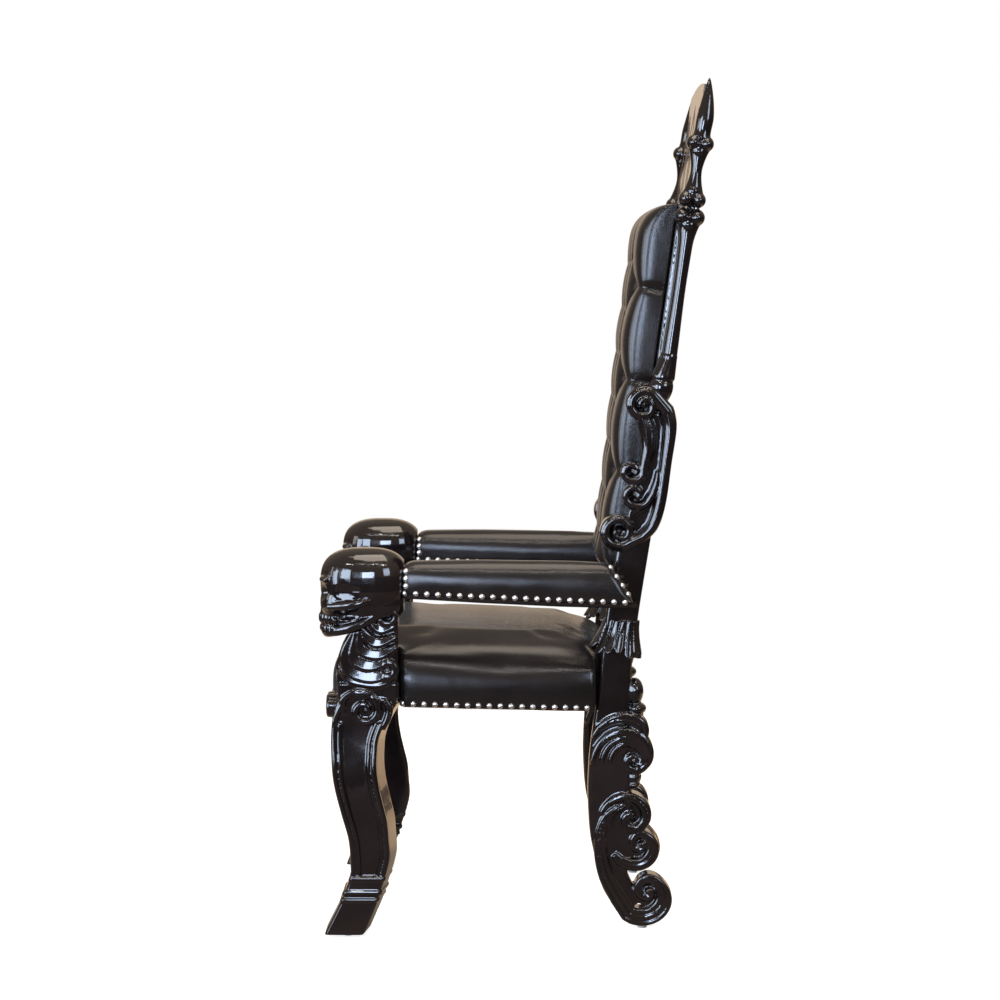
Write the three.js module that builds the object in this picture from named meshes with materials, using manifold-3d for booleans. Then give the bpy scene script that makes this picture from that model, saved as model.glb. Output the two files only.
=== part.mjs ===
// A carved high-back throne: black lacquered posts shaped as finger bones that end in claws, skull hand
// rests, scrolled legs, and a leather seat, arms and deep-buttoned back.
// Millimetres, +Z up. The sitter faces -Y, the sitter's left is +X, and the floor is z = 0.
// The origin is on the floor, under the middle of the whole throne.
import * as THREE from "three";
import { mergeVertices } from "three/addons/utils/BufferGeometryUtils.js";
import Module from "manifold-3d";

const wasm = await Module();
wasm.setup();

// Driving dimensions
const HEIGHT = 1780; // floor to claw tips
const FIT_GAP = 0.4; // clearance between pieces that touch
const POST_X = 265; // middle of the rear posts from the centre plane
const POST_HALF = 28; // half the thickness of the rear posts
const LEG_X = 338; // middle of the front legs
const LEG_HALF = 43; // half the thickness of the front legs
const BACK_LEAN = THREE.MathUtils.degToRad(7.9); // backward lean of the back
const BACK_BASE_Y = 248; // bone axis at the foot of the back
const BACK_BASE_Z = 700; // foot of the back
const FOOT_Z = 9; // underside of the wooden feet
const GLIDE_RADIUS = 11;
const FRONT_GLIDE_Y = -350;
const REAR_GLIDE_Y = 266;

// Materials
const lacquer = new THREE.MeshStandardMaterial({ color: 0x0d0a0b, roughness: 0.12, metalness: 0 });
const leather = new THREE.MeshStandardMaterial({ color: 0x1a1512, roughness: 0.42, metalness: 0 });
const glidePlastic = new THREE.MeshStandardMaterial({ color: 0xd8d5cf, roughness: 0.5, metalness: 0 });

// General helpers

const point = (x, y, z) => new THREE.Vector3(x, y, z);
const radians = THREE.MathUtils.degToRad;
const series = (count, make) => Array.from({ length: count }, (_, i) => make(i));

// Flat drawings are made across, up and out, and these bases turn them into place.
const sideView = new THREE.Matrix4().makeBasis(point(0, 1, 0), point(0, 0, 1), point(1, 0, 0));
const frontView = new THREE.Matrix4().makeBasis(point(1, 0, 0), point(0, 0, 1), point(0, -1, 0));

// A smooth curve through [position, value] pairs, read at any position.
function smoothly(pairs) {
  const curve = new THREE.SplineCurve(pairs.map(([at, value]) => new THREE.Vector2(at, value)));
  const samples = curve.getPoints(pairs.length * 12);
  return (at) => {
    const next = samples.findIndex((sample) => sample.x >= at);
    if (next === 0) return samples[0].y;
    if (next < 0) return samples[samples.length - 1].y;
    const [a, b] = [samples[next - 1], samples[next]];
    return a.y + ((b.y - a.y) * (at - a.x)) / (b.x - a.x || 1);
  };
}

// A smooth edge through a few [across, up] places, as corners.
function edge(places, steps) {
  const curve = new THREE.SplineCurve(places.map(([across, up]) => new THREE.Vector2(across, up)));
  return curve.getPoints(steps).map((p) => [p.x, p.y]);
}

// A closed geometry through rings of equally many points, capped at both ends.
function loft(rings) {
  const count = rings[0].length;
  const points = rings.flat();
  const centre = (ring) => ring.reduce((sum, p) => sum.add(p), point(0, 0, 0)).divideScalar(count);
  const first = points.push(centre(rings[0])) - 1;
  const last = points.push(centre(rings[rings.length - 1])) - 1;
  const end = (rings.length - 1) * count;
  const faces = [];
  for (let i = 0; i < count; i++) {
    const j = (i + 1) % count;
    for (let base = 0; base < end; base += count) {
      faces.push(base + i, base + j, base + count + j);
      faces.push(base + i, base + count + j, base + count + i);
    }
    faces.push(first, j, i);
    faces.push(last, end + i, end + j);
  }
  const geometry = new THREE.BufferGeometry().setFromPoints(points);
  geometry.setIndex(faces);
  return geometry;
}

// A geometry as a solid, turned the right way out.
function solid(geometry) {
  const bare = geometry.clone();
  bare.deleteAttribute("normal");
  bare.deleteAttribute("uv");
  const merged = mergeVertices(bare, 1e-3);
  const triVerts = new Uint32Array(merged.index.array);
  const vertProperties = new Float32Array(merged.attributes.position.array);
  const make = () => new wasm.Manifold(new wasm.Mesh({ numProp: 3, vertProperties, triVerts }));
  const made = make();
  if (made.volume() > 0) return made;
  for (let i = 0; i < triVerts.length; i += 3) {
    [triVerts[i + 1], triVerts[i + 2]] = [triVerts[i + 2], triVerts[i + 1]];
  }
  return make();
}

const join = (solids) => solids.reduce((whole, piece) => whole.add(piece));
const cut = (whole, cutters) => cutters.reduce((left, cutter) => left.subtract(cutter), whole);

function geometryOf(body) {
  const mesh = body.getMesh();
  const geometry = new THREE.BufferGeometry();
  geometry.setAttribute("position", new THREE.BufferAttribute(new Float32Array(mesh.vertProperties), 3));
  geometry.setIndex(Array.from(mesh.triVerts));
  geometry.computeVertexNormals();
  return geometry;
}

function box(low, high) {
  const size = high.clone().sub(low);
  const middle = high.clone().add(low).divideScalar(2);
  return solid(new THREE.BoxGeometry(size.x, size.y, size.z).translate(middle.x, middle.y, middle.z));
}

function ellipsoid(middle, radii, around = 8, down = 5) {
  const geometry = new THREE.SphereGeometry(1, around, down).scale(radii.x, radii.y, radii.z);
  return solid(geometry.translate(middle.x, middle.y, middle.z));
}

// A plate with [across, up] corners, from low to high out of the drawing.
function plate(corners, low, high, view = sideView) {
  const shape = new THREE.Shape(corners.map(([across, up]) => new THREE.Vector2(across, up)));
  const geometry = new THREE.ExtrudeGeometry(shape, { depth: high - low, bevelEnabled: false });
  return solid(geometry.translate(0, 0, low).applyMatrix4(view));
}

// A carved band with sloping sides: a path of {across, up, half} stations, from low to high out.
function band(path, low, high, view = sideView) {
  const rings = path.map((at, i) => {
    const before = path[Math.max(0, i - 1)];
    const after = path[Math.min(path.length - 1, i + 1)];
    const along = new THREE.Vector2(after.across - before.across, after.up - before.up).normalize();
    const place = (share, out) =>
      point(at.across - along.y * share * at.half, at.up + along.x * share * at.half, out);
    return [place(1, low), place(0.62, high), place(-0.62, high), place(-1, low)];
  });
  return solid(loft(rings).applyMatrix4(view));
}

// Stations of a scroll about its eye. Angles are in degrees, anticlockwise from the across direction.
function scroll({ eye, from, to, radii, halves, steps }) {
  const evenly = (values) => smoothly(values.map((value, i) => [i / (values.length - 1), value]));
  const [radiusAt, halfAt] = [evenly(radii), evenly(halves)];
  return series(steps + 1, (i) => {
    const share = i / steps;
    const angle = radians(from + (to - from) * share);
    const across = eye[0] + radiusAt(share) * Math.cos(angle);
    const up = eye[1] + radiusAt(share) * Math.sin(angle);
    return { across, up, half: halfAt(share) };
  });
}

// Stations along a smooth line through a few [across, up, half] places.
function stem(places, steps) {
  const line = new THREE.CatmullRomCurve3(places.map((at) => point(...at)), false, "centripetal");
  return line.getPoints(steps).map((p) => ({ across: p.x, up: p.y, half: p.z }));
}

// The rear posts: leg, petal collar, scrolled side wing and bone post, carved as one

const POST_IN = POST_X - POST_HALF;
const POST_OUT = POST_X + POST_HALF;
const backPlace = new THREE.Matrix4()
  .makeTranslation(0, BACK_BASE_Y, BACK_BASE_Z)
  .multiply(new THREE.Matrix4().makeRotationX(-BACK_LEAN));
const CLAW_TIP = (HEIGHT - BACK_BASE_Z) / Math.cos(BACK_LEAN) - 1; // along the lean

function rearLeg() {
  const front = edge([[212, 830], [186, 652], [171, 500], [152, 350], [154, 215], [180, 95], [236, 22]], 12);
  // The rear edge runs out into the eye of each scroll.
  const rear = [
    ...edge([[262, 24], [297, 72], [272, 104], [242, 116], [258, 158], [282, 184], [258, 208]], 9),
    ...edge([[264, 240], [242, 290], [240, 335], [264, 366], [240, 420]], 6),
    ...edge([[238, 500], [253, 652], [280, 830]], 3),
  ];
  const footScroll = [
    ...stem([[172, 150, 10], [196, 88, 14]], 1),
    ...scroll({
      eye: [277, 82],
      from: -125,
      to: 270,
      radii: [66, 49, 29, 27, 22, 17, 11],
      halves: [18, 18, 12, 10, 10, 8, 6],
      steps: 10,
    }),
  ];
  const calfScroll = [
    { across: 214, up: 154, half: 9 },
    ...scroll({
      eye: [261, 182],
      from: -115,
      to: 270,
      radii: [51, 33, 25, 22, 18, 14, 10],
      halves: [13, 14, 10, 8, 8, 7, 5],
      steps: 9,
    }),
  ];
  const kneeLeaf = scroll({
    eye: [243, 238],
    from: 175,
    to: -190,
    radii: [64, 45, 33, 25, 20, 11],
    halves: [5, 9, 11, 10, 8, 6],
    steps: 6,
  });
  const thighLeaf = scroll({
    eye: [245, 366],
    from: 185,
    to: -180,
    radii: [84, 60, 40, 29, 20, 11],
    halves: [5, 9, 10, 8, 8, 6],
    steps: 6,
  });
  const hipLeaf = stem([[166, 420, 5], [197, 443, 9], [233, 446, 11], [264, 434, 13], [264, 402, 8]], 5);
  const bands = [footScroll, calfScroll, kneeLeaf, thighLeaf, hipLeaf];
  const buds = [[251, 503, 17, 28], [252, 467, 20, 13], [249, 318, 16, 18]]; // across, up, deep, tall
  return join([
    plate([...front, ...rear], POST_IN + 3, POST_OUT - 5),
    ...bands.map((path) => band(path, POST_IN + 6, POST_OUT)),
    ...buds.map(([y, z, deep, tall]) =>
      ellipsoid(point(POST_X, y, z), point(POST_HALF - 4, deep, tall), 6, 3),
    ),
  ]);
}

// The collar's ruffled petals hang round the post, a little lower at the rear.
function petalCollar() {
  const petals = 9;
  const rearDrop = 0.16;
  const levels = [[222, 650, 35, 28], [214, 618, 43, 35], [207, 584, 52, 43]]; // y, z, deep, wide
  const rings = levels.map(([y, z, deep, wide], level) =>
    series(petals * 2, (i) => {
      const angle = (Math.PI * i) / petals;
      const ridge = i % 2 === 0;
      const reach = ridge ? 1 : 0.9;
      const hem = ridge && level === 2 ? 7 : 0;
      const dy = deep * reach * Math.cos(angle);
      return point(POST_X + wide * reach * Math.sin(angle), y + dy, z - dy * rearDrop - hem);
    }),
  );
  return solid(loft(rings));
}

// The wing is a C of two volutes with two curled leaves inside, on a sunk ground.
function sideWing() {
  const frame = [
    ...scroll({
      eye: [264, 1104],
      from: 450,
      to: 45,
      radii: [10, 16, 21, 26, 29],
      halves: [5, 7, 9, 10, 11],
      steps: 7,
    }),
    ...stem([[312, 1092, 12], [320, 1055, 12], [310, 985, 12], [299, 905, 12], [262, 829, 12]], 5),
    ...scroll({
      eye: [214, 841],
      from: -50,
      to: -450,
      radii: [32, 30, 27, 18, 10],
      halves: [11, 10, 9, 7, 5],
      steps: 7,
    }),
  ];
  const leaf = [
    ...stem([[270, 1076, 11], [275, 1045, 13], [271, 1010, 11]], 2),
    ...scroll({
      eye: [241, 965],
      from: 25,
      to: -300,
      radii: [25, 20, 17, 9],
      halves: [9, 8, 7, 5],
      steps: 5,
    }),
  ];
  const curl = [
    { across: 292, up: 962, half: 4 },
    ...scroll({
      eye: [246, 918],
      from: 15,
      to: -300,
      radii: [40, 23, 17, 9],
      halves: [6, 8, 7, 5],
      steps: 5,
    }),
  ];
  const ground = edge([[285, 1106], [316, 1070], [297, 905], [228, 838], [268, 1000], [264, 1078]], 10);
  return join([
    plate(ground, POST_IN + 3, POST_OUT - 12),
    ...[frame, leaf, curl].map((path) => band(path, POST_IN + 6, POST_OUT)),
  ]);
}

// One bone: a shaft with a pair of knuckles at each end, along the back's lean.
function bone({ low, high, shaft, spread, ends }) {
  const foot = ends.includes(low) ? [[0, 0.9], [0.1, 0.78], [0.28, 0]] : [[0, 0]]; // share, flare
  const stations = [...foot, [0.72, 0], [0.9, 0.78], [1, 0.9]];
  const rings = stations.map(([share, flare]) =>
    series(6, (i) => {
      const angle = (Math.PI * i) / 3;
      const deep = shaft + (spread - shaft) * flare; // the knuckles spread front to back
      const wide = shaft * (1 + 0.35 * flare);
      return point(POST_X + wide * Math.cos(angle), deep * Math.sin(angle), low + (high - low) * share);
    }),
  );
  const knuckles = ends.flatMap((at) =>
    [-1, 1].map((side) =>
      ellipsoid(
        point(POST_X, side * spread * 0.46, at),
        point(spread * 0.74, spread * 0.55, spread * 0.58),
        6,
        4,
      ),
    ),
  );
  return join([solid(loft(rings)), ...knuckles]);
}

// The long bone's lower end is a flared socket with two swellings, straight along its rear.
function boneFoot() {
  // Height, place behind the bone axis, half depth and half width.
  const stations = [
    [412, -4, 10, 10],
    [434, -9, 26, 22],
    [449, -8, 25, 21],
    [457, -7, 22, 18],
    [465, -7, 24.5, 20.5],
    [512, 0, 17, 15.5],
  ];
  const rings = stations.map(([u, v, deep, wide]) =>
    series(6, (i) => {
      const angle = (Math.PI * i) / 3;
      return point(POST_X + wide * Math.cos(angle), v + deep * Math.sin(angle), u);
    }),
  );
  return solid(loft(rings));
}

function claw(foot) {
  const bow = 3; // a slight curve to the rear
  const stations = [[0, 14], [0.06, 18], [0.14, 16.5], [0.35, 17], [0.62, 11.5], [1, 1.2]]; // share, radius
  const rings = stations.map(([share, radius]) =>
    series(6, (i) => {
      const angle = (Math.PI * i) / 3;
      const y = bow * Math.sin(Math.PI * share) + radius * Math.sin(angle);
      return point(POST_X + 0.9 * radius * Math.cos(angle), y, foot + (CLAW_TIP - foot) * share);
    }),
  );
  return solid(loft(rings));
}

function bonePost() {
  const stile = 24; // thickness of the flat stile inside the bones
  const stileBox = (front, rear, low, high) =>
    box(point(POST_IN, front, low), point(POST_IN + stile, rear, high));
  return join([
    stileBox(-24, 10, 60, 805),
    stileBox(-7, 10, 800, 970),
    boneFoot(),
    bone({ low: 500, high: 801, shaft: 14, spread: 31, ends: [801] }),
    bone({ low: 836, high: 953, shaft: 13.5, spread: 28, ends: [836, 953] }),
    claw(958),
  ]).transform(backPlace.elements);
}

const belowFeet = box(point(0, -500, -50), point(500, 500, FOOT_Z));
const rearPost = cut(join([rearLeg(), petalCollar(), sideWing(), bonePost()]), [belowFeet]);

// The skull hand rests

const SKULL_REAR = -231; // flat joint with the arm

function skull() {
  const at = (x, y, z) => point(LEG_X + x, y, z);
  const pair = (make) => [-1, 1].map(make);
  // Height, half width, front and rear of the face from the chin up.
  const face = [
    [628, 30, -394, -345],
    [640, 37, -401, -325],
    [672, 40, -403, -300],
    [697, 50, -404, -300],
    [735, 52, -405, -300],
    [752, 50, -402, -300],
  ].map(([z, half, front, rear]) => [
    at(half * 0.55, front, z),
    at(half * 0.92, front + 14, z),
    at(half, rear, z),
    at(-half, rear, z),
    at(-half * 0.92, front + 14, z),
    at(-half * 0.55, front, z),
  ]);
  const jaw = [[-360, 634, 28], [-300, 655, 34], [-252, 690, 36]].map(([y, z, half]) => [
    at(half, y, z),
    at(half, y, z + 40),
    at(-half, y, z + 40),
    at(-half, y, z),
  ]);
  const teeth = series(3, (i) => box(at(i * 17 - 24, -405, 652), at(i * 17 - 10, -390, 672)));
  const whole = join([
    ellipsoid(at(0, -312, 742), point(66, 87, 71), 12, 6),
    solid(loft(face)),
    solid(loft(jaw)),
    ...pair((side) => ellipsoid(at(side * 45, -352, 697), point(14, 32, 12), 8, 4)),
    ellipsoid(at(0, -388, 752), point(48, 17, 10), 8, 4),
    ...teeth,
  ]);
  return cut(whole, [
    ...pair((side) => ellipsoid(at(side * 23, -404, 721), point(16, 22, 16), 7, 5)),
    ...pair((side) => ellipsoid(at(side * 74, -338, 728), point(16, 32, 26), 8, 4)),
    ...pair((side) => ellipsoid(at(side * 42, -372, 662), point(10, 26, 9), 6, 4)),
    ellipsoid(at(0, -408, 693), point(9, 14, 12), 6, 5),
    box(at(-90, SKULL_REAR, 600), at(90, SKULL_REAR + 60, 850)),
  ]);
}

const skullSolid = skull();

// The front legs with their acanthus arm supports, cut to the skull they carry

const LEG_OUT = LEG_X + LEG_HALF;
const LEG_IN = LEG_X - LEG_HALF;
const LEG_TOP = 505; // where the leg becomes the arm support
const SUPPORT_REAR = -240;

function frontLeg() {
  const frontEdge = smoothly([
    [FOOT_Z, -397],
    [64, -370],
    [132, -343],
    [211, -346],
    [316, -373],
    [421, -381],
    [LEG_TOP, -366],
  ]);
  const rearEdge = smoothly([
    [FOOT_Z, -317],
    [71, -290],
    [142, -266],
    [211, -261],
    [316, -281],
    [400, -286],
    [456, -268],
    [LEG_TOP, SUPPORT_REAR],
  ]);
  const rearDraft = 12; // the inner rear edge stands further back than the outer one
  const knee = { z: 324, swell: 14, above: 85, below: 130 }; // the outer side is fullest at the knee
  const rim = 11; // raised rim round the sunk panel
  const sunk = 4;
  const ankle = [[84, 92], [102, 120]]; // two mouldings that stand proud
  const levels = [FOOT_Z, 78, ...ankle.flatMap(([low, high]) => [low, low + 2, high - 2, high]), 148];
  const rings = [...levels, 152, 211, 265, 316, 370, 421, 456, 484, LEG_TOP].map((z) => {
    const proud = ankle.some(([low, high]) => z > low && z < high) ? 3.5 : 0;
    const depth = z > 150 && z < 480 ? sunk : 0;
    const draft = rearDraft * Math.sin(Math.PI * THREE.MathUtils.clamp((z - 60) / 445, 0, 1));
    const [front, rear] = [frontEdge(z) - proud, rearEdge(z) + proud];
    const away = (z - knee.z) / (z > knee.z ? knee.above : knee.below);
    const out = LEG_OUT + proud + knee.swell * Math.exp(-(away ** 2));
    return [
      point(out, front, z),
      point(out, front + rim, z),
      point(out - depth, front + rim + 3, z),
      point(out - depth, rear - rim - 3, z),
      point(out, rear - rim, z),
      point(out, rear, z),
      point(LEG_IN, rear + draft, z),
      point(LEG_IN, front, z),
    ];
  });
  const kneeScroll = scroll({
    eye: [-318, 470],
    from: 150,
    to: -250,
    radii: [52, 34, 20, 10],
    halves: [5, 6, 6, 4],
    steps: 8,
  });
  const frontRolls = [[-376, 494], [-378, 470]].map(([y, z]) =>
    ellipsoid(point(LEG_X, y, z), point(26, 15, 14), 6, 4),
  );
  return join([solid(loft(rings)), band(kneeScroll, LEG_OUT - 8, LEG_OUT + 3), ...frontRolls]);
}

// The leaf's lobes hang in nested loops from under the jaw and rise to the rear edge.
function armSupport() {
  const frontEdge = smoothly([
    [LEG_TOP - 4, -366],
    [540, -367],
    [572, -372],
    [600, -363],
    [628, -348],
    [700, -300],
  ]);
  const core = [LEG_TOP - 4, 540, 572, 600, 628, 704].map((z) => [
    point(LEG_OUT - 5, frontEdge(z) + 6, z),
    point(LEG_OUT - 5, SUPPORT_REAR, z),
    point(LEG_IN + 4, SUPPORT_REAR, z),
    point(LEG_IN + 4, frontEdge(z) + 6, z),
    point(LEG_X, frontEdge(z), z),
  ]);
  const lobes = series(4, (i) => {
    const [left, top, bottom, right] = [-310 - i * 11, 652 - i * 9, 640 - i * 28, -250 - i * 5];
    const fall = [[left, top, 4], [left + 8, bottom + 14, 7]];
    const rise = [[left + 34, bottom, 8], [right, bottom + 14, 5]];
    return band(stem([...fall, ...rise], 4), LEG_OUT - 14, LEG_OUT + 1);
  });
  const volutes = [[-258, 676], [-262, 562]].map(([y, z]) =>
    ellipsoid(point(LEG_OUT - 8, y, z), point(10, 15, 15), 8, 4),
  );
  return join([solid(loft(core)), ...lobes, ...volutes]);
}

// The underside of the jaw, from chin to neck, with clearance.
const underJaw = [[-420, 628], [-345, 628], [-325, 640], [-300, 655], [-252, 690], [-231, 711]];
const roomForSkull = plate(
  [...underJaw.map(([y, z]) => [y, z - FIT_GAP]), [-231, 850], [-420, 850]],
  LEG_IN - 50,
  LEG_OUT + 50,
);
const frontLegSolid = cut(join([frontLeg(), armSupport()]), [roomForSkull]);

// The arms: a wooden rail under a leather pad, lapped on the outside of the rear post

const ARM_FRONT = SKULL_REAR + FIT_GAP;
const RAIL_DEEP = 9;
const armLine = {
  middle: smoothly([[-240, LEG_X], [255, 330]]),
  half: smoothly([[-240, 42], [0, 40], [255, 33]]),
  bottom: smoothly([[-240, 711], [-75, 701], [110, 692], [255, 688]]),
  top: smoothly([[-240, 784], [-200, 787], [0, 787], [255, 781]]),
};

function armRail() {
  const rings = [ARM_FRONT, -75, 90, 250].map((y) => {
    const [middle, half, low] = [armLine.middle(y), armLine.half(y) - 3, armLine.bottom(y)];
    return [
      point(middle - half, y, low + RAIL_DEEP),
      point(middle + half, y, low + RAIL_DEEP),
      point(middle + half, y, low + 3),
      point(middle + half - 4, y, low),
      point(middle - half + 4, y, low),
      point(middle - half, y, low + 3),
    ];
  });
  return solid(loft(rings));
}

function armPad() {
  const rearSlant = 54; // the rear end slopes from the top down and back to the rail
  const ends = [ARM_FRONT, ARM_FRONT + 14, -75, 90, 190];
  const section = [[1, 0], [1, 0.55], [0.86, 0.8], [0.5, 0.96], [0, 1]]; // side and height shares
  const mirrored = section.slice(0, -1).reverse().map(([side, share]) => [-side, share]);
  const rings = ends.map((y, station) => {
    const low = armLine.bottom(y) + RAIL_DEEP + FIT_GAP;
    const tall = (armLine.top(y) - low) * (station === 0 ? 0.86 : 1);
    const slant = station === ends.length - 1 ? rearSlant : 0;
    return [...section, ...mirrored].map(([side, share]) =>
      point(armLine.middle(y) + side * armLine.half(y), y + slant * (1 - share), low + tall * share),
    );
  });
  return solid(loft(rings));
}

// The seat, notched round the front legs, the rear posts and their collars

function seat() {
  const [front, rear] = [-387, 226];
  const [frontHalf, rearHalf] = [352, 300];
  const slope = -0.035; // the seat falls towards the rear
  const squareness = 9; // of the superellipse in plan
  const sides = 24;
  const levels = [[478, 1], [532, 1], [572, 0.97], [602, 0.9], [620, 0.81], [628, 0.6]]; // z, reach
  const rings = levels.map(([z, reach]) =>
    series(sides, (i) => {
      const angle = (2 * Math.PI * (i + 0.5)) / sides;
      const [c, s] = [Math.cos(angle), Math.sin(angle)];
      const fill = reach * (Math.abs(c) ** squareness + Math.abs(s) ** squareness) ** (-1 / squareness);
      const y = (front + rear) / 2 + ((rear - front) / 2) * fill * s;
      const half = frontHalf + ((rearHalf - frontHalf) * (y - front)) / (rear - front);
      return point(half * fill * c, y, z + slope * (y - SUPPORT_REAR));
    }),
  );
  const notches = [-1, 1].flatMap((side) => {
    const notch = (inner, frontY, rearY, lowZ) => {
      const [a, b] = [side * inner, side * 450];
      return box(point(Math.min(a, b), frontY, lowZ), point(Math.max(a, b), rearY, 700));
    };
    return [
      notch(LEG_IN - FIT_GAP, -450, SUPPORT_REAR + FIT_GAP, 400),
      notch(POST_IN - FIT_GAP, 165, 300, 400),
      notch(219, 150, 300, 560),
    ];
  });
  return cut(solid(loft(rings)), notches);
}

// The back, in its own leaning frame: a board between the posts, its cushion and the crest

const BACK_HALF = POST_IN - FIT_GAP;
const PANEL_FRONT = -24;
const PANEL_TOP = 805;

const backPanel = () => box(point(-BACK_HALF, PANEL_FRONT, 0), point(BACK_HALF, 10, PANEL_TOP));

// The cushion's front swells between buttons set in a diamond pattern.
function backCushion() {
  const [halfWide, low, high] = [BACK_HALF - 1, 34, 826];
  const [buttonStep, rowStep, firstRow] = [58, 194, 61]; // half the spacing, rows, lowest row
  const base = PANEL_FRONT - FIT_GAP;
  const easing = (share) => Math.sqrt(Math.sin(Math.PI * THREE.MathUtils.clamp(share, 0.002, 0.5)));
  const heights = [low, ...series(16, (i) => firstRow + (rowStep / 4) * i), high];
  const columns = [-halfWide, ...series(7, (i) => (i - 3) * buttonStep), halfWide];
  const rings = heights.map((z) => {
    const up = (z - low) / (high - low);
    const deep = (62 + 20 * up) * easing((1 - up) * 4.2) * easing(up * 6);
    const front = columns.map((x) => {
      const [a, b] = [x / (2 * buttonStep), (z - firstRow) / rowStep];
      const swell = Math.sqrt(Math.abs(Math.cos(Math.PI * (a + b)) * Math.cos(Math.PI * (a - b))));
      const side = Math.abs(x) === halfWide ? 0.62 : 1;
      return point(x, base - deep * side * (0.82 + 0.18 * swell), z);
    });
    return [...front, point(halfWide, base, z), point(-halfWide, base, z)];
  });
  return solid(loft(rings));
}

// The crest board has a gently arched top and three blind lancets cut into its front in outline.
function crestPanel() {
  const [low, front, rear] = [PANEL_TOP + FIT_GAP, -7, 9];
  const [shoulder, apex] = [1076, 1088];
  const [sunk, wide] = [3, 3.5]; // depth of the outline and half its width
  const arch = edge([[BACK_HALF, shoulder], [0, apex], [-BACK_HALF, shoulder]], 12);
  const board = plate([[-BACK_HALF, low], [BACK_HALF, low], ...arch], -rear, -front, frontView);
  const lancets = [-1, 0, 1].map((place) => {
    const [middle, half] = [place * 150, 58];
    const [spring, tip] = [930, 1020 + 14 * (1 - Math.abs(place))];
    const jamb = middle + half;
    const right = stem([[jamb, low + 34, wide], [jamb, spring, wide], [middle, tip, wide]], 3);
    const left = right.slice(0, -1).reverse().map((at) => ({ ...at, across: 2 * middle - at.across }));
    return band([...right, ...left], -front - sunk, -front + 6, frontView);
  });
  return cut(board, lancets);
}

function glide(y) {
  const tall = FOOT_Z - FIT_GAP;
  const geometry = new THREE.CylinderGeometry(GLIDE_RADIUS, GLIDE_RADIUS - 1.5, tall, 10);
  geometry.rotateX(Math.PI / 2);
  return solid(geometry.translate(y < 0 ? LEG_X : POST_X, y, tall / 2));
}

// The scene graph

const throne = new THREE.Group();
throne.name = "throne";
const back = new THREE.Group();
back.position.set(0, BACK_BASE_Y, BACK_BASE_Z);
back.rotation.x = -BACK_LEAN;
throne.add(back);

function add(parent, name, body, material, mirror = false) {
  const mesh = new THREE.Mesh(geometryOf(body), material);
  mesh.name = name;
  mesh.scale.x = mirror ? -1 : 1;
  parent.add(mesh);
}

function addPair(name, body, material) {
  add(throne, `${name}_left`, body, material);
  add(throne, `${name}_right`, body, material, true);
}

addPair("rear_post", rearPost, lacquer);
addPair("front_leg", frontLegSolid, lacquer);
addPair("skull", skullSolid, lacquer);
addPair("arm_rail", armRail(), lacquer);
addPair("arm_pad", armPad(), leather);
addPair("glide_front", glide(FRONT_GLIDE_Y), glidePlastic);
addPair("glide_rear", glide(REAR_GLIDE_Y), glidePlastic);
add(throne, "seat", seat(), leather);
add(back, "back_panel", backPanel(), lacquer);
add(back, "back_cushion", backCushion(), leather);
add(back, "crest_panel", crestPanel(), lacquer);

export default throne;
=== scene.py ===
import math

import bpy
import numpy as np
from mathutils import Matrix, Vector
from mathutils.bvhtree import BVHTree


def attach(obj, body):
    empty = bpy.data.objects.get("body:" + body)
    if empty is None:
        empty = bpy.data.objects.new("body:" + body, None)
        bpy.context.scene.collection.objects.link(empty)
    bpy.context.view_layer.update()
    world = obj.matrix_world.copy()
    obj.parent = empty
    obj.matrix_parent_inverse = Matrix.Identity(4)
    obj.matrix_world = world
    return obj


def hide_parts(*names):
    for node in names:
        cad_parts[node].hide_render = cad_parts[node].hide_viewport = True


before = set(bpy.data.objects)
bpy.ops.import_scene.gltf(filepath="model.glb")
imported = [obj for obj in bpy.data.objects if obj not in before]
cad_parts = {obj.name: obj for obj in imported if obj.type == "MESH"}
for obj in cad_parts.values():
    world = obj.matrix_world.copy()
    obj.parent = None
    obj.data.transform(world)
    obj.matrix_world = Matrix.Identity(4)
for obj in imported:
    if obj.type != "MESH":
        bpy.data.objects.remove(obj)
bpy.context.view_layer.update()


# Rear posts
# Each rear post is one stile of lacquered hardwood, carved from the scrolled leg up to the claw: petal
# collar, C-scroll wing, then two finger bones. All sizes are millimetres, and MM turns them into metres.

MM = 0.001
POST_X = 265  # middle of the post from the centre plane
POST_HALF = 28  # half its thickness
BACK_LEAN = math.radians(7.9)
BACK_BASE = (248, 700)  # bone axis at the foot of the back, in Y and Z
CLAW_LOW, CLAW_TIP = 956, 1089  # claw along the lean, from the foot of the back
FOOT_Z = 9  # underside of the wooden feet
STEP = 3.0  # spacing of the rows along carved lines


def spline(places, step=STEP):
    """Rows every few millimetres along a smooth line through the rows of places."""
    p = np.asarray(places, float)
    p = np.vstack([2 * p[0] - p[1], p, 2 * p[-1] - p[-2]])
    rows = []
    for a, b, c, d in zip(p[:-3], p[1:-2], p[2:-1], p[3:]):
        count = max(3, int(np.linalg.norm((c - b)[:2]) / step))
        t = np.linspace(0, 1, count, endpoint=False)[:, None]
        rows.append(b + 0.5 * t * (c - a + t * (2 * a - 5 * b + 4 * c - d + t * (3 * (b - c) + d - a))))
    return np.vstack(rows + [p[-2]])


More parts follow.
